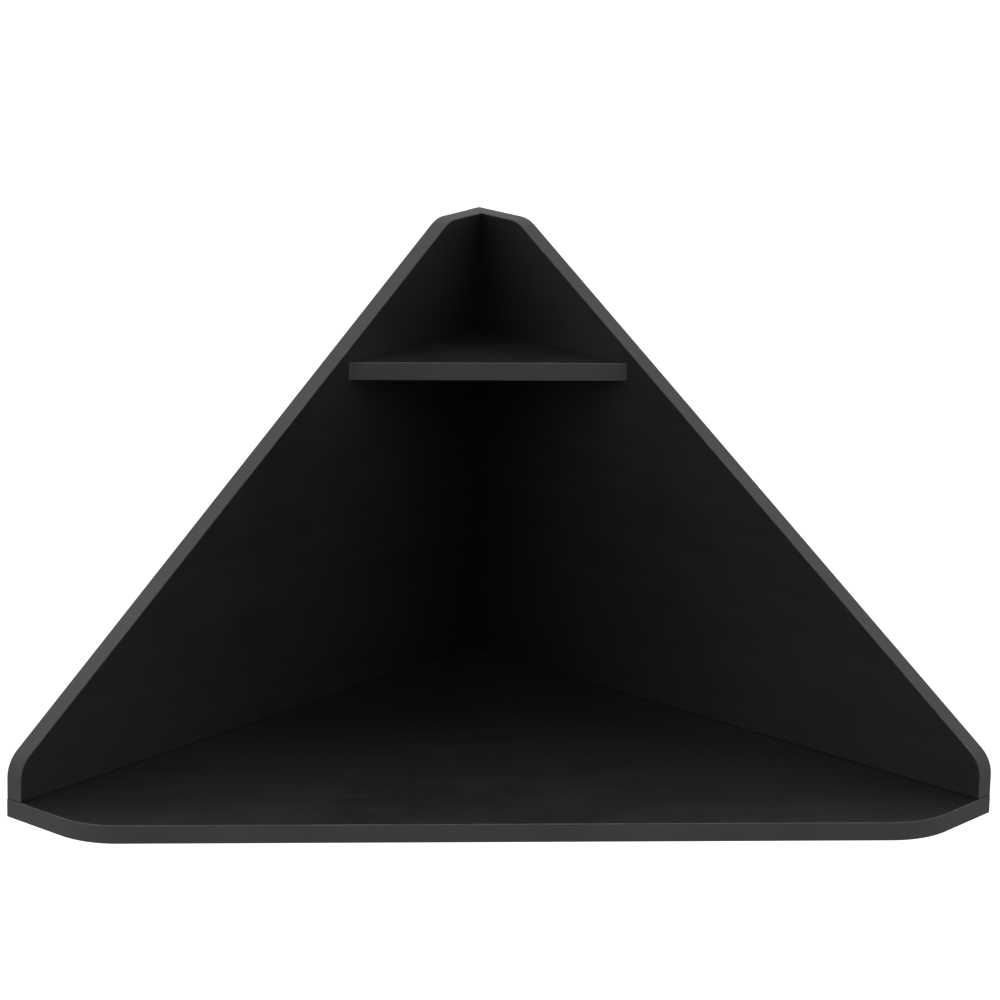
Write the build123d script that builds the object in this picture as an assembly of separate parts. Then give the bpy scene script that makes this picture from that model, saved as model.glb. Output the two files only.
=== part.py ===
from build123d import *
import os
from math import sqrt

# Wall-hung corner desk of melamine-faced board, in millimetres.
# The origin is the room corner at the underside of the desktop. The two walls run along (-1, -1) and
# (1, -1), the desk is symmetric about X = 0 and its user sits on the -Y side. +Z is up.

# --- Boards -------------------------------------------------------------------------------------
BOARD = 18.0                 # thickness of every board
WALL_LENGTH = 657.0          # room corner to either end of the desk, along the wall
DESK_DEPTH = 537.0           # room corner to the front edge
FRONT_CORNER_RADIUS = 75.0   # rounded front corners of the desktop
PANEL_HEIGHT = 460.0         # side panel above the desktop
PANEL_END_HEIGHT = 36.0      # height at which the sloping edge would meet the panel's front end
PANEL_TOP_LENGTH = 65.5      # level stretch at the top of a panel, from the room corner
PANEL_END_RADIUS = 30.0
PANEL_TOP_RADIUS = 30.0
FOOT_EASE = 0.6              # arrises taken off the foot of a side panel, which leave a fine groove
SHELF_TOP = 359.0            # height of the shelf's upper face
SHELF_FRONT = 162.4          # room corner to the front face of the shelf

# --- Edge bands -----------------------------------------------------------------------------------
BAND = 1.0                   # band on the edges in view
WALL_BAND = 0.5              # thinner band on the edges against the walls
ARRIS_RADIUS = 0.8

# --- Joints: 7 x 50 confirmat screws and 8 x 30 dowels ---------------------------------------------
SCREW_LENGTH = 50.0
SCREW_RADIUS = 3.5
SCREW_CORE_RADIUS = 2.5
SCREW_HEAD_RADIUS = 5.0
SCREW_HEAD_RIM = 1.0         # straight part of the head, above its cone
SCREW_THREAD_START = 12.0
SCREW_PITCH = 3.0
SCREW_HOLE_DEPTH = 52.0
HEX_KEY = 4.0                # across flats
HEX_SOCKET_DEPTH = 3.5
DOWEL_LENGTH = 30.0
DOWEL_RADIUS = 4.0
DOWEL_CHAMFER = 1.0
DOWEL_FLUTES = 12
DOWEL_FLUTE_RADIUS = 0.5
DOWEL_HOLE_LENGTH = 32.0
DESKTOP_SCREW_PLACES = (60.0, 330.0, 600.0)   # along the wall, from the room corner
DESKTOP_DOWEL_PLACES = (150.0, 510.0)
CORNER_SCREW_HEIGHTS = (70.0, 245.0, 440.0)
CORNER_DOWEL_HEIGHTS = (150.0, 390.0)
SHELF_SCREW_PLACES = (60.0, 130.0)            # along the shelf's side, from its inner corner
SHELF_DOWEL_PLACES = (95.0,)

# --- Keyhole hangers ------------------------------------------------------------------------------
HANGER_PLACES = {"upper": (90.0, 412.0), "front": (560.0, 75.0)}   # along the wall, and height
HANGER_LENGTH = 56.0
HANGER_WIDTH = 20.0
HANGER_THICKNESS = 2.0
HANGER_SCREW_PITCH = 43.0
KEYHOLE_ENTRY_RADIUS = 4.75
KEYHOLE_ENTRY_DROP = 6.0     # entry hole below the plate's middle
KEYHOLE_SLOT_RISE = 8.0      # top of the slot's centre line above the middle
KEYHOLE_SLOT_WIDTH = 5.0
CAVITY_LENGTH = 27.0         # room behind the keyhole for the wall screw's head
CAVITY_WIDTH = 12.0
CAVITY_DEPTH = 10.0          # from the wall face
POCKET_CLEARANCE = 0.1       # round the plate and round the heads of its screws

# --- Hanger screws: 3.5 x 12 countersunk -----------------------------------------------------------
SMALL_SCREW_LENGTH = 12.0
SMALL_SCREW_RADIUS = 1.75
SMALL_SCREW_CORE_RADIUS = 1.1
SMALL_SCREW_HEAD_RADIUS = 3.75
SMALL_SCREW_HEAD_RIM = 0.3
SMALL_SCREW_THREAD_START = 2.6
SMALL_SCREW_PITCH = 1.6
SMALL_SCREW_HOLE_DEPTH = 13.0
CROSS_LENGTH = 3.6
CROSS_WIDTH = 0.8
CROSS_DEPTH = 1.2

HALF = sqrt(0.5)
SHELF_MIDDLE = SHELF_TOP - BOARD / 2
PANEL_MIDDLE = -BOARD / 2    # middle of a side panel's thickness, out from the wall plane

# The left wall's plane: X runs along the wall from the room corner, Y is up, and Z points into the
# wall, so a side panel fills Z from -BOARD to 0.
LEFT_WALL = Plane(origin=(0, 0, 0), x_dir=(-HALF, -HALF, 0), z_dir=(-HALF, HALF, 0))


def on_wall(shape, side):
    """Move a shape drawn in the left wall's plane to its place on the left or right wall."""
    placed = LEFT_WALL * shape
    return placed if side == "left" else mirror(placed, about=Plane.YZ)


# --- Outlines -------------------------------------------------------------------------------------

def rounded(outline, corners):
    """Round the outline's corners: a list of (corner, radius)."""
    for corner, radius in corners:
        vertex = outline.vertices().sort_by_distance(corner)[0]
        outline = fillet(vertex, radius)
    return outline


def desktop_outline(inset, wall_inset):
    """The desktop seen from above, cut back by inset at the ends and front and wall_inset at the walls."""
    rear = (0, -wall_inset / HALF)
    end = WALL_LENGTH - inset
    wall_end = ((end - wall_inset) * HALF, -(end + wall_inset) * HALF)
    front = DESK_DEPTH - inset
    # The end edge is square to the wall: x - y is the same all along it.
    front_corner = (2 * end * HALF - front, -front)
    right_side = [wall_end, front_corner]
    left_side = [(-x, y) for x, y in reversed(right_side)]
    outline = make_face(Polyline(rear, *right_side, *left_side, close=True))
    radius = FRONT_CORNER_RADIUS - inset
    return rounded(outline, [(front_corner, radius), ((-front_corner[0], -front), radius)])


def panel_outline(inset, rear):
    """A side panel in the wall's plane, from rear to its front end, cut back by inset on the banded edges."""
    run = WALL_LENGTH - PANEL_TOP_LENGTH
    rise = PANEL_HEIGHT - PANEL_END_HEIGHT
    slant = sqrt(run ** 2 + rise ** 2) / run
    front = WALL_LENGTH - inset
    top = BOARD + PANEL_HEIGHT - inset
    slope = rise / run
    slope_at_front = BOARD + PANEL_END_HEIGHT + inset * (slope - slant)
    slope_end = (front, slope_at_front)
    slope_start = (front - (top - slope_at_front) / slope, top)
    points = [(rear, BOARD), (front, BOARD), slope_end, slope_start, (rear, top)]
    outline = make_face(Polyline(*points, close=True))
    return rounded(outline, [(slope_end, PANEL_END_RADIUS - inset), (slope_start, PANEL_TOP_RADIUS - inset)])


def banded_board(outer, core, is_banded):
    """A board and its band, BOARD thick from Z = 0 up. is_banded(center) picks the arrises to round."""
    core_board = extrude(core, BOARD)
    outer_board = extrude(outer, BOARD)
    arrises = outer_board.edges().filter_by(lambda edge: is_banded(edge.center()) and not is_upright(edge))
    band = fillet(arrises, ARRIS_RADIUS) - core_board
    return core_board, band


def is_upright(edge):
    return abs(edge.center().Z - BOARD / 2) < BOARD / 4


# --- Hardware -------------------------------------------------------------------------------------

def screw(head_radius, rim, radius, core_radius, length, thread_start, pitch):
    """A countersunk screw, head at Z = 0 and point at Z = length. The thread is cut as separate rings."""
    cone = rim + head_radius - radius
    points = [(0, 0), (head_radius, 0), (head_radius, rim), (radius, cone), (radius, thread_start)]
    z = thread_start
    while z + 2 * pitch < length:
        points += [(core_radius, z), (core_radius, z + 0.5 * pitch),
                   (radius, z + 0.8 * pitch), (radius, z + 0.95 * pitch)]
        z += pitch
    points += [(core_radius, z), (core_radius, length - core_radius), (0, length)]
    return revolve(Plane.XZ * make_face(Polyline(*points, close=True)), axis=Axis.Z)


def countersunk_hole(mouth_radius, above, rim, radius, depth):
    """A hole for a countersunk head at Z = 0, open from Z = -above down to Z = depth."""
    cone = rim + mouth_radius - radius
    points = [(0, -above), (mouth_radius, -above), (mouth_radius, rim), (radius, cone),
              (radius, depth), (0, depth)]
    return revolve(Plane.XZ * make_face(Polyline(*points, close=True)), axis=Axis.Z)


def confirmat():
    """A 7 x 50 one-piece connector with a 4 mm hexagon socket."""
    body = screw(SCREW_HEAD_RADIUS, SCREW_HEAD_RIM, SCREW_RADIUS, SCREW_CORE_RADIUS,
                 SCREW_LENGTH, SCREW_THREAD_START, SCREW_PITCH)
    socket = extrude(RegularPolygon(radius=HEX_KEY / 2, side_count=6, major_radius=False), HEX_SOCKET_DEPTH)
    return body - socket


def confirmat_hole():
    """The stepped hole that the connector is driven into."""
    return countersunk_hole(SCREW_HEAD_RADIUS, 0, SCREW_HEAD_RIM, SCREW_RADIUS, SCREW_HOLE_DEPTH)


def dowel():
    """A fluted beech dowel along Z, centred on the joint."""
    blank = chamfer(Cylinder(DOWEL_RADIUS, DOWEL_LENGTH).edges(), DOWEL_CHAMFER)
    flutes = PolarLocations(DOWEL_RADIUS + 0.1, DOWEL_FLUTES) * Cylinder(DOWEL_FLUTE_RADIUS, DOWEL_LENGTH)
    return blank - flutes


def dowel_hole():
    return Cylinder(DOWEL_RADIUS, DOWEL_HOLE_LENGTH)


def hanger_screw():
    """A 3.5 x 12 countersunk chipboard screw with a cross recess."""
    body = screw(SMALL_SCREW_HEAD_RADIUS, SMALL_SCREW_HEAD_RIM, SMALL_SCREW_RADIUS, SMALL_SCREW_CORE_RADIUS,
                 SMALL_SCREW_LENGTH, SMALL_SCREW_THREAD_START, SMALL_SCREW_PITCH)
    recess = extrude(Rectangle(CROSS_LENGTH, CROSS_WIDTH) + Rectangle(CROSS_WIDTH, CROSS_LENGTH), CROSS_DEPTH)
    return body - recess


def hanger_screw_hole():
    """The countersunk hole through the plate, and the hole that the screw cuts in the panel."""
    return countersunk_hole(SMALL_SCREW_HEAD_RADIUS + POCKET_CLEARANCE, POCKET_CLEARANCE,
                            SMALL_SCREW_HEAD_RIM, SMALL_SCREW_RADIUS, SMALL_SCREW_HOLE_DEPTH)


def hanger_screw_spots():
    """Both screws of a hanger, driven from the wall side towards -Z."""
    offset = HANGER_SCREW_PITCH / 2
    return [Pos(0, y, 0) * Rot(180, 0, 0) for y in (-offset, offset)]


def hanger_plate():
    """A keyhole plate, upright, its outer face at Z = 0."""
    plate = SlotOverall(HANGER_LENGTH, HANGER_WIDTH, rotation=90)
    entry = Pos(0, -KEYHOLE_ENTRY_DROP) * Circle(KEYHOLE_ENTRY_RADIUS)
    slot_length = KEYHOLE_ENTRY_DROP + KEYHOLE_SLOT_RISE
    slot_middle = (KEYHOLE_SLOT_RISE - KEYHOLE_ENTRY_DROP) / 2
    slot = Pos(0, slot_middle) * SlotCenterToCenter(slot_length, KEYHOLE_SLOT_WIDTH, rotation=90)
    steel = extrude(plate - entry - slot, -HANGER_THICKNESS)
    for spot in hanger_screw_spots():
        steel -= spot * hanger_screw_hole()
    return steel


def hanger_pocket():
    """What is routed and drilled out of a panel for one hanger, its screws and the wall screw's head."""
    room = 2 * POCKET_CLEARANCE
    recess = SlotOverall(HANGER_LENGTH + room, HANGER_WIDTH + room, rotation=90)
    cavity_middle = (KEYHOLE_SLOT_RISE - KEYHOLE_ENTRY_DROP) / 2
    cavity = Pos(0, cavity_middle) * SlotOverall(CAVITY_LENGTH, CAVITY_WIDTH, rotation=90)
    pocket = extrude(recess, -HANGER_THICKNESS) + extrude(cavity, -CAVITY_DEPTH)
    for spot in hanger_screw_spots():
        pocket += spot * hanger_screw_hole()
    return pocket


# --- Where the hardware goes, in the left wall's plane ---------------------------------------------

def desktop_joint(places, depth):
    """Upright spots under a side panel, pointing up."""
    return [Pos(place, depth, PANEL_MIDDLE) * Rot(-90, 0, 0) for place in places]


def shelf_joint(places, out):
    """Level spots through a side panel into the shelf's side, pointing away from the wall."""
    return [Pos(BOARD + place, SHELF_MIDDLE, out) * Rot(180, 0, 0) for place in places]


def corner_joint(heights, out):
    """Level spots through the right panel into the left panel's rear end, pointing away from the wall."""
    return [Pos(BOARD / 2, height, out) * Rot(180, 0, 0) for height in heights]


def at_each(spots, shape):
    return [spot * shape for spot in spots]


def joint_solids(side):
    """The screws and dowels of one side, by node name, with the holes that they need."""
    screws = {"desktop": at_each(desktop_joint(DESKTOP_SCREW_PLACES, 0), confirmat()),
              "shelf": at_each(shelf_joint(SHELF_SCREW_PLACES, 0), confirmat())}
    dowels = {"desktop": at_each(desktop_joint(DESKTOP_DOWEL_PLACES, BOARD), dowel()),
              "shelf": at_each(shelf_joint(SHELF_DOWEL_PLACES, -BOARD), dowel())}
    holes = (at_each(desktop_joint(DESKTOP_SCREW_PLACES, 0), confirmat_hole())
             + at_each(shelf_joint(SHELF_SCREW_PLACES, 0), confirmat_hole())
             + at_each(desktop_joint(DESKTOP_DOWEL_PLACES, BOARD), dowel_hole())
             + at_each(shelf_joint(SHELF_DOWEL_PLACES, -BOARD), dowel_hole()))
    nodes = {}
    for joint in ("desktop", "shelf"):
        nodes[f"{side}_{joint}_screws"] = Compound([on_wall(s, side) for s in screws[joint]])
        nodes[f"{side}_{joint}_dowels"] = Compound([on_wall(s, side) for s in dowels[joint]])
    return nodes, [on_wall(hole, side) for hole in holes]


def corner_solids():
    """The screws and dowels that join the two panels, driven through the right one."""
    screws = at_each(corner_joint(CORNER_SCREW_HEIGHTS, 0), confirmat())
    dowels = at_each(corner_joint(CORNER_DOWEL_HEIGHTS, -BOARD), dowel())
    holes = (at_each(corner_joint(CORNER_SCREW_HEIGHTS, 0), confirmat_hole())
             + at_each(corner_joint(CORNER_DOWEL_HEIGHTS, -BOARD), dowel_hole()))
    nodes = {"corner_screws": Compound([on_wall(s, "right") for s in screws]),
             "corner_dowels": Compound([on_wall(s, "right") for s in dowels])}
    return nodes, [on_wall(hole, "right") for hole in holes]


def hanger_solids(side):
    """The hangers of one side with their screws, and the pockets for them."""
    nodes = {}
    screws = []
    pockets = []
    for name, (place, height) in HANGER_PLACES.items():
        spot = Pos(place, height, 0)
        nodes[f"{side}_{name}_hanger"] = on_wall(spot * hanger_plate(), side)
        screws += [on_wall(spot * s, side) for s in at_each(hanger_screw_spots(), hanger_screw())]
        pockets.append(on_wall(spot * hanger_pocket(), side))
    nodes[f"{side}_hanger_screws"] = Compound(screws)
    return nodes, pockets


# --- Boards ---------------------------------------------------------------------------------------

def desktop():
    """The desktop, the band round its ends and front, and the two bands against the walls."""
    outer = desktop_outline(0, 0)
    behind_band = desktop_outline(BAND, 0)

    def is_banded(center):
        return center.Y < -WALL_LENGTH * HALF - 1

    board, band = banded_board(outer, behind_band, is_banded)
    core = extrude(desktop_outline(BAND, WALL_BAND), BOARD)
    wall_strip = board - core
    left_half = Pos(-WALL_LENGTH / 2, 0, 0) * Box(WALL_LENGTH, 2 * WALL_LENGTH, 3 * BOARD)
    return {"desktop": core, "desktop_front_band": band,
            "desktop_left_wall_band": wall_strip & left_half,
            "desktop_right_wall_band": wall_strip - left_half}


def foot_easing():
    """What is taken off a side panel's foot along both faces and across its front end."""
    profile = make_face(Polyline((0, 0), (FOOT_EASE, 0), (0, FOOT_EASE), close=True))
    along = Plane(origin=(WALL_LENGTH, BOARD, 0), x_dir=(0, 0, 1), z_dir=(-1, 0, 0))
    inner = extrude(along * profile, WALL_LENGTH, dir=(-1, 0, 0))
    outer = mirror(inner, about=Plane.XY.offset(BOARD / 2))
    across = Plane(origin=(WALL_LENGTH, BOARD, 0), x_dir=(-1, 0, 0), z_dir=(0, 0, -1))
    front = extrude(across * profile, BOARD, dir=(0, 0, 1))
    return [inner, outer, front]


def side_panel(side):
    """A side panel and its band. The right panel runs to the room corner, and the left one meets its face."""
    rear = 0 if side == "right" else BOARD

    def is_banded(center):
        return center.Y > BOARD + 1 and center.X > rear + 1

    board, band = banded_board(panel_outline(0, rear), panel_outline(BAND, rear), is_banded)
    board -= foot_easing()
    band -= foot_easing()
    nodes = {f"{side}_panel_band": band}
    if side == "right":
        strip = Pos(WALL_BAND / 2, 0, 0) * Box(WALL_BAND, 4 * PANEL_HEIGHT, 3 * BOARD)
        nodes["right_panel_wall_band"] = board & strip
        board -= strip
    nodes[f"{side}_panel"] = board
    return {name: on_wall(Pos(0, 0, -BOARD) * solid, side) for name, solid in nodes.items()}


def shelf():
    """The triangular shelf between the panels, with a band on its front edge only."""
    inner_corner = BOARD / HALF

    def outline(front):
        half_width = front - inner_corner
        points = [(0, -inner_corner), (half_width, -front), (-half_width, -front)]
        return make_face(Polyline(*points, close=True))

    board, band = banded_board(outline(SHELF_FRONT), outline(SHELF_FRONT - BAND),
                               lambda center: center.Y < -SHELF_FRONT + 0.1)
    lift = Pos(0, 0, SHELF_TOP - BOARD)
    return {"shelf": lift * board, "shelf_band": lift * band}


def build():
    """Every node of the desk, by name."""
    nodes = {**desktop(), **side_panel("left"), **side_panel("right"), **shelf()}
    hardware, holes = corner_solids()
    for side in ("left", "right"):
        for more_nodes, more_holes in (joint_solids(side), hanger_solids(side)):
            hardware.update(more_nodes)
            holes += more_holes
    for name in ("desktop", "left_panel", "right_panel", "shelf"):
        nodes[name] = nodes[name] - holes
    return {**nodes, **hardware}


os.makedirs("parts", exist_ok=True)
for name, solid in build().items():
    export_step(solid, f"parts/{name}.step")
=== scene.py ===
"""Looks of the wall-hung corner desk: black melamine boards, dark edge bands and hidden fittings.

The desk hangs on two walls, so here it floats above a plain studio floor at a usual working height.
"""

from math import cos, radians, sin, sqrt

import bpy
from mathutils import Matrix, Vector


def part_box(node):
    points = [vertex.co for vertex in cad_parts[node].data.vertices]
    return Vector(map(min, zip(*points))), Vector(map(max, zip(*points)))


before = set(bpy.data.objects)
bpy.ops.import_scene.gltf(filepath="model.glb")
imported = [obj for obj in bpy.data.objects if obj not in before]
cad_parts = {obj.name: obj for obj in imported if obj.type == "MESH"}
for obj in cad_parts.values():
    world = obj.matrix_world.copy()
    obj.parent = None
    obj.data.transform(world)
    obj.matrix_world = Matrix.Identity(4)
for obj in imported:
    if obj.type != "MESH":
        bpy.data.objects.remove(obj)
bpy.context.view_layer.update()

# Sizes in metres, in the row frame: the origin is the room corner at the underside of the desktop.
MM = 0.001
DIAGONAL = sqrt(0.5)             # both parts of a unit direction at 45 degrees to the axes
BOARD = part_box("desktop")[1].z   # a board's thickness
UNDERSIDE_HEIGHT = 0.73          # above the room's floor, as the desk is hung
FLOOR_REACH = 60.0               # from the room corner to each side of the floor

# Depths in from a board's face, and heights above the desktop's top face
BLACK_DEPTH = 0.65 * MM          # the black ends here, past the eased arris
WEAR_FULL = 0.1 * MM             # a band's wear is strongest between the face and here
WEAR_END = 0.9 * MM              # and has faded out here
SEAM_SHADE_START = 0.02 * MM         # just clear of the desktop's own bands
SEAM_SHADE_END = 1.0 * MM            # the top of the painted shade line where a side panel's band meets the desktop

# Colours: a grey or red, green and blue, as two ends to vary between or as one flat tone
MELAMINE_BLACK = (0.0095, 0.0096, 0.0099), (0.0145, 0.0145, 0.0148)
CHIPS = (0.62, 0.46, 0.28), (0.30, 0.19, 0.10)
BAND_BLACK = (0.072, 0.072, 0.073), (0.087, 0.087, 0.088)
WORN_BAND = 0.17
PAINTED_SEAM_SHADE = 0.012
SCREW_ZINC = (0.60, 0.61, 0.60), (0.74, 0.75, 0.73)
HANGER_ZINC = (0.46, 0.47, 0.46), (0.62, 0.62, 0.58)
BEECH = (0.66, 0.46, 0.28), (0.48, 0.31, 0.17)
FLOOR_GREY = 0.29, 0.31

# How many chips a metre of cut board shows and how rough it is, then how much of the worn tone shows on
# a band and how much smoother wear makes it
CHIPS_PER_METRE = 380.0
CHIPBOARD_ROUGHNESS = 0.9
WORN_SHARE = 0.55
WORN_POLISH = 0.12

# Light: the surround's strength, what the floor adds for the camera to look white, how wide the soft
# lights are in degrees, and for each of them the direction of its middle and its strength
SURROUND = 0.05
FLOOR_GLOW = 0.90
SOFT_LIGHT_WIDTH = 60.0
SOFT_LIGHTS = {
    "left": ((-1.0, -0.20, 0.35), 1.75),
    "right": ((1.0, -0.20, 0.35), 1.55),
    "behind": ((0.0, 0.80, 1.00), 1.95),
    "above": ((0.0, -1.00, 1.00), 0.55),
}

# Camera: angles in degrees, distance and target in metres, lens and sensor in millimetres
AZIMUTH, ELEVATION, ROLL = -4.6, 16.906, 1.408
CAMERA_DISTANCE = 4.5028
CAMERA_TARGET = (0.0079, -0.25, 0.2449)
FOCAL_LENGTH = 166.7
SENSOR_WIDTH = 36.0
CLIP_END = 200.0                 # metres, beyond the floor's far corners


# --- Node helpers ---------------------------------------------------------------------------------

class Nodes:
    """A material's node tree with short ways to add the nodes that the finishes share."""

    def __init__(self, name):
        self.material = bpy.data.materials.new(name)
        self.material.use_nodes = True
        self.tree = self.material.node_tree
        self.shader = self.tree.nodes["Principled BSDF"]
        self.position = self.add("ShaderNodeTexCoord").outputs["Object"]

    def add(self, kind, **settings):
        node = self.tree.nodes.new(kind)
        for key, value in settings.items():
            setattr(node, key, value)
        return node

    def link(self, value, socket):
        """Feed a socket from another socket, or set it to a number or a tuple."""
        if isinstance(value, bpy.types.NodeSocket):
            self.tree.links.new(value, socket)
        else:
            socket.default_value = value

    def math(self, operation, *values):
        node = self.add("ShaderNodeMath", operation=operation)
        for value, socket in zip(values, node.inputs):
            self.link(value, socket)
        return node.outputs[0]

    def blend(self, main, rest, share):
        """The main value by its share, and the rest for what is left."""
        return self.math("ADD", self.math("MULTIPLY", main, share),
                         self.math("MULTIPLY", rest, 1.0 - share))

    def turned(self, angle, stretch):
        """Position turned about Z so that X runs along a board, and only then stretched."""
        turn = self.add("ShaderNodeMapping")
        turn.inputs["Rotation"].default_value = (0, 0, radians(-angle))
        self.link(self.position, turn.inputs["Vector"])
        scale = self.add("ShaderNodeMapping")
        scale.inputs["Scale"].default_value = stretch
        self.link(turn.outputs[0], scale.inputs["Vector"])
        return scale.outputs[0]

    def noise(self, vector, scale=1.0, detail=3.0, roughness=0.5, distortion=0.0):
        node = self.add("ShaderNodeTexNoise")
        self.link(vector, node.inputs["Vector"])
        node.inputs["Scale"].default_value = scale
        node.inputs["Detail"].default_value = detail
        node.inputs["Roughness"].default_value = roughness
        node.inputs["Distortion"].default_value = distortion
        return node.outputs["Fac"]

    def remap(self, value, low, high, to=(0.0, 1.0)):
        """A value between low and high, spread over another range."""
        node = self.add("ShaderNodeMapRange")
        self.link(value, node.inputs["Value"])
        for name, number in (("From Min", low), ("From Max", high), ("To Min", to[0]), ("To Max", to[1])):
            node.inputs[name].default_value = number
        return node.outputs[0]

    def mix(self, factor, low, high):
        """A colour between low and high."""
        node = self.add("ShaderNodeMix", data_type="RGBA")
        self.link(factor, node.inputs["Factor"])
        self.link(colour(low), node.inputs["A"])
        self.link(colour(high), node.inputs["B"])
        return node.outputs["Result"]

    def off_middle(self, normal, middle):
        """How far the shaded point lies from the middle of a board's thickness, in metres."""
        dot = self.add("ShaderNodeVectorMath", operation="DOT_PRODUCT")
        self.link(self.position, dot.inputs[0])
        dot.inputs[1].default_value = normal
        return self.math("ABSOLUTE", self.math("SUBTRACT", dot.outputs["Value"], middle))

    def bump(self, height, depth, strength=1.0, below=None):
        """A bump of a real depth in metres, on top of another bump."""
        node = self.add("ShaderNodeBump")
        node.inputs["Strength"].default_value = strength
        node.inputs["Distance"].default_value = depth
        self.link(height, node.inputs["Height"])
        if below is not None:
            self.link(below, node.inputs["Normal"])
        return node.outputs[0]

    def finish(self, base, roughness, normal, metallic=0.0, specular=0.5):
        self.link(base, self.shader.inputs["Base Color"])
        self.link(roughness, self.shader.inputs["Roughness"])
        self.link(normal, self.shader.inputs["Normal"])
        self.shader.inputs["Metallic"].default_value = metallic
        self.shader.inputs["Specular IOR Level"].default_value = specular
        return self.material


def colour(value):
    """A grey or RGB value as the four numbers that a colour socket takes."""
    if isinstance(value, bpy.types.NodeSocket):
        return value
    if isinstance(value, float):
        value = (value,) * 3
    return (*value, 1.0)


# --- Materials ------------------------------------------------------------------------------------

def melamine(name, angle, normal, middle):
    """Matte black melamine on both faces of a board, and bare chipboard wherever the board is cut.

    normal is square to the faces, and middle is where the board's middle lies along it.
    """
    n = Nodes(name)
    pores = n.noise(n.turned(angle, stretch=(60, 900, 900)), detail=4.0, roughness=0.6)
    grain = n.noise(n.turned(angle, stretch=(7, 90, 90)), detail=5.0, roughness=0.55, distortion=0.4)
    clouds = n.noise(n.position, scale=5.0, detail=2.0)
    handling = n.noise(n.position, scale=16.0, detail=6.0, roughness=0.65)
    black = n.mix(n.remap(n.blend(grain, clouds, share=0.6), 0.3, 0.7), *MELAMINE_BLACK)
    satin = n.math("ADD", n.remap(handling, 0.35, 0.7, to=(0.32, 0.42)),
                   n.remap(pores, 0.35, 0.65, to=(-0.04, 0.04)))
    # Whatever lies deeper than the black is a cut edge, a pocket or a drilled hole.
    cut = n.math("LESS_THAN", n.off_middle(normal, middle), BOARD / 2 - BLACK_DEPTH)
    base = n.mix(cut, black, chipboard_colour(n))
    roughness = n.math("MAXIMUM", satin, n.math("MULTIPLY", cut, CHIPBOARD_ROUGHNESS))
    chips = n.noise(n.position, scale=450.0, detail=2.0)
    emboss = n.bump(pores, depth=0.035 * MM, strength=0.35)
    ripple = n.bump(grain, depth=0.06 * MM, strength=0.25, below=emboss)
    torn = n.bump(n.math("MULTIPLY", chips, cut), depth=0.4 * MM, below=ripple)
    return n.finish(base, roughness, torn, specular=0.22)


def chipboard_colour(n):
    """Pressed wood chips, from straw to brown."""
    cells = n.add("ShaderNodeTexVoronoi")
    cells.inputs["Scale"].default_value = CHIPS_PER_METRE
    n.link(n.turned(0, stretch=(1, 1, 2.2)), cells.inputs["Vector"])
    tone = n.add("ShaderNodeSeparateColor")
    n.link(cells.outputs["Color"], tone.inputs[0])
    return n.mix(tone.outputs[0], *CHIPS)


def edge_band(name, angle, normal, middle):
    """Matte PVC band: a little lighter than the faces, finely ribbed along its length, worn at the arrises."""
    n = Nodes(name)
    ribs = n.noise(n.turned(angle, stretch=(25, 1400, 1400)))
    speckle = n.noise(n.position, scale=700.0, roughness=0.6)
    clouds = n.noise(n.position, scale=9.0)
    rubbed = n.noise(n.position, scale=42.0, detail=5.0, roughness=0.7)
    arris = n.remap(n.off_middle(normal, middle), BOARD / 2 - WEAR_END, BOARD / 2 - WEAR_FULL)
    wear = n.math("MULTIPLY", arris, n.remap(rubbed, 0.42, 0.66))
    plain = n.mix(n.remap(n.blend(clouds, speckle, share=0.7), 0.35, 0.65), *BAND_BLACK)
    worn = n.mix(n.math("MULTIPLY", wear, WORN_SHARE), plain, WORN_BAND)
    # Painted shade: the band turns near-black in a thin line just above the desktop, standing in for the seam's
    # shadow.
    base = n.mix(foot_seam_shade_mask(n), worn, PAINTED_SEAM_SHADE)
    roughness = n.math("SUBTRACT", n.remap(speckle, 0.35, 0.65, to=(0.60, 0.70)),
                       n.math("MULTIPLY", wear, WORN_POLISH))
    fine = n.bump(ribs, depth=0.03 * MM, strength=0.3)
    grit = n.bump(speckle, depth=0.02 * MM, strength=0.3, below=fine)
    return n.finish(base, roughness, grit, specular=0.1)


def foot_seam_shade_mask(n):
    """1 in the fine groove over the desktop's top face, which is painted dark as shade in the seam, and 0
    elsewhere.
    """
    axes = n.add("ShaderNodeSeparateXYZ")
    n.link(n.position, axes.inputs[0])
    above = n.math("GREATER_THAN", axes.outputs["Z"], BOARD + SEAM_SHADE_START)
    below = n.math("LESS_THAN", axes.outputs["Z"], BOARD + SEAM_SHADE_END)
    return n.math("MULTIPLY", above, below)


def plated_steel(name, low, high):
    """Zinc-plated steel with faint brushing and a cloudy plating."""
    n = Nodes(name)
    clouds = n.noise(n.position, scale=160.0, detail=4.0, roughness=0.6)
    lines = n.noise(n.turned(0, stretch=(300, 300, 2500)), detail=2.0)
    base = n.mix(n.remap(clouds, 0.35, 0.65), low, high)
    roughness = n.math("ADD", n.remap(clouds, 0.3, 0.7, to=(0.26, 0.42)),
                       n.remap(lines, 0.3, 0.7, to=(-0.05, 0.05)))
    scored = n.bump(lines, depth=0.02 * MM, strength=0.4)
    return n.finish(base, roughness, scored, metallic=1.0)


def beech(name):
    """Bare beech with short upright flecks."""
    n = Nodes(name)
    fibres = n.noise(n.turned(0, stretch=(1100, 1100, 90)), detail=4.0)
    flecks = n.noise(n.turned(0, stretch=(500, 500, 120)), detail=2.0)
    base = n.mix(n.remap(n.blend(fibres, flecks, share=0.6), 0.35, 0.65), *BEECH)
    roughness = n.remap(fibres, 0.3, 0.7, to=(0.55, 0.75))
    return n.finish(base, roughness, n.bump(fibres, depth=0.08 * MM), specular=0.3)


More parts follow.
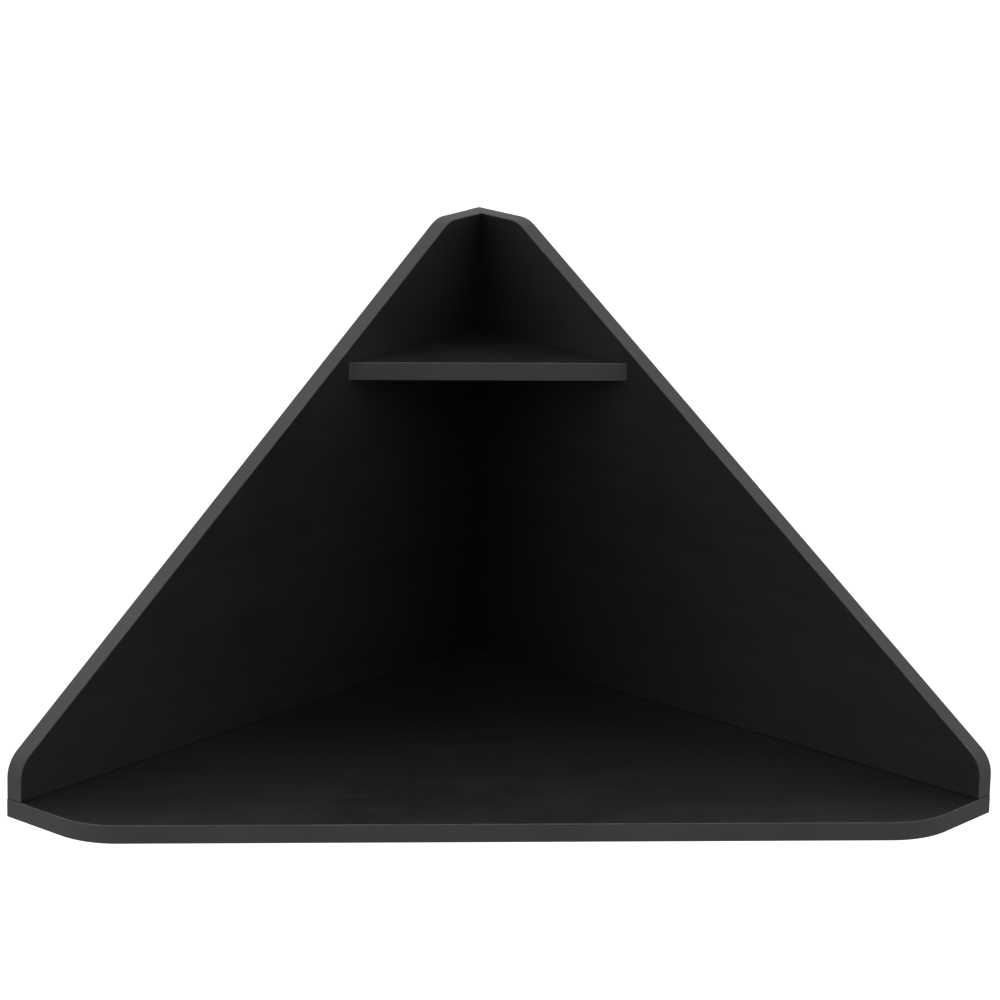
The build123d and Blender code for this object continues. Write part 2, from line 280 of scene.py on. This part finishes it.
def pale_floor():
    """Plain studio floor: mid grey to the desk, which it lights little from below, white to the camera."""
    n = Nodes("studio_floor")
    clouds = n.noise(n.position, scale=1.2)
    grit = n.noise(n.position, scale=90.0)
    roughness = n.remap(grit, 0.3, 0.7, to=(0.75, 0.85))
    material = n.finish(n.mix(clouds, *FLOOR_GREY), roughness,
                        n.bump(grit, depth=0.1 * MM, strength=0.2), specular=0.1)
    white_to_camera(n.tree, n.shader, n.tree.nodes["Material Output"], FLOOR_GLOW)
    return material


def give(node, material):
    """Put one material on a CAD node, in place of all its slots."""
    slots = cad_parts[node].data.materials
    slots.clear()
    slots.append(material)


def board_places():
    """Each board's name with the angle of its grain, its face normal and its middle along the normal."""
    up = (0.0, 0.0, 1.0)
    shelf_low, shelf_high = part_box("shelf")
    yield "desktop", 0.0, up, BOARD / 2
    yield "shelf", 0.0, up, (shelf_low.z + shelf_high.z) / 2
    yield "left_panel", 45.0, (-DIAGONAL, DIAGONAL, 0.0), -BOARD / 2
    yield "right_panel", -45.0, (DIAGONAL, DIAGONAL, 0.0), -BOARD / 2


def paint_boards():
    """Every board in melamine, and the bands round it in the same board's band material."""
    for board, angle, normal, middle in board_places():
        give(board, melamine(f"melamine_{board}", angle, normal, middle))
        band = edge_band(f"band_{board}", angle, normal, middle)
        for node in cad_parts:
            if node.startswith(board) and node.endswith("_band"):
                give(node, band)


def paint_hardware():
    """Screws, hangers and dowels, told apart by the last word of their names."""
    finishes = {
        "_screws": plated_steel("zinc_screw", *SCREW_ZINC),
        "_hanger": plated_steel("zinc_hanger", *HANGER_ZINC),
        "_dowels": beech("beech_dowel"),
    }
    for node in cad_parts:
        for ending, material in finishes.items():
            if node.endswith(ending):
                give(node, material)


# --- Stage ----------------------------------------------------------------------------------------

def make_floor():
    """A large plain floor at the height that it has under the hung desk."""
    mesh = bpy.data.meshes.new("floor")
    signs = ((-1, -1), (1, -1), (1, 1), (-1, 1))
    corners = [(x * FLOOR_REACH, y * FLOOR_REACH, -UNDERSIDE_HEIGHT) for x, y in signs]
    mesh.from_pydata(corners, [], [(0, 1, 2, 3)])
    floor = bpy.data.objects.new("floor", mesh)
    bpy.context.scene.collection.objects.link(floor)
    mesh.materials.append(pale_floor())


def white_to_camera(tree, shader, output, white):
    """Add a white glow that only the camera sees, so that what lights the desk little still looks white."""
    path = tree.nodes.new("ShaderNodeLightPath")
    glow = tree.nodes.new("ShaderNodeEmission" if output.type == "OUTPUT_MATERIAL" else "ShaderNodeBackground")
    strength = tree.nodes.new("ShaderNodeMath")
    strength.operation = "MULTIPLY"
    strength.inputs[1].default_value = white
    tree.links.new(path.outputs["Is Camera Ray"], strength.inputs[0])
    tree.links.new(strength.outputs[0], glow.inputs["Strength"])
    both = tree.nodes.new("ShaderNodeAddShader")
    tree.links.new(shader.outputs[0], both.inputs[0])
    tree.links.new(glow.outputs[0], both.inputs[1])
    tree.links.new(both.outputs[0], output.inputs["Surface"])


def make_surround():
    """A dim white surround that looks fully white."""
    world = bpy.data.worlds.new("studio")
    world.use_nodes = True
    tree = world.node_tree
    background = tree.nodes["Background"]
    background.inputs["Color"].default_value = (1.0, 1.0, 1.0, 1.0)
    background.inputs["Strength"].default_value = SURROUND
    white_to_camera(tree, background, tree.nodes["World Output"], 1.0 - SURROUND)
    bpy.context.scene.world = world


def make_soft_lights():
    """Broad soft lights on both sides, behind and above: towards points from the desk to each one."""
    for name, (towards, strength) in SOFT_LIGHTS.items():
        light = bpy.data.lights.new(name, "SUN")
        light.energy = strength
        light.angle = radians(SOFT_LIGHT_WIDTH)
        lamp = bpy.data.objects.new(name, light)
        lamp.rotation_euler = Vector(towards).to_track_quat("Z", "Y").to_euler()
        bpy.context.scene.collection.objects.link(lamp)


def make_camera():
    """The photo's view: back points from the target to the camera, and the roll turns right and up about it."""
    azimuth, elevation, roll = radians(AZIMUTH), radians(ELEVATION), radians(ROLL)
    back = Vector((sin(azimuth) * cos(elevation), -cos(azimuth) * cos(elevation), sin(elevation)))
    right = (-back).cross(Vector((0, 0, 1))).normalized()
    up = right.cross(-back)
    turned_right = right * cos(roll) + up * sin(roll)
    turned_up = up * cos(roll) - right * sin(roll)
    data = bpy.data.cameras.new("camera")
    data.lens = FOCAL_LENGTH
    data.sensor_width = SENSOR_WIDTH
    data.clip_end = CLIP_END
    camera = bpy.data.objects.new("camera", data)
    rotation = Matrix((turned_right, turned_up, back)).transposed().to_4x4()
    camera.matrix_world = Matrix.Translation(Vector(CAMERA_TARGET) + back * CAMERA_DISTANCE) @ rotation
    bpy.context.scene.collection.objects.link(camera)
    bpy.context.scene.camera = camera


paint_boards()
paint_hardware()
make_floor()
make_surround()
make_soft_lights()
make_camera()
bpy.context.scene.view_settings.view_transform = "Standard"
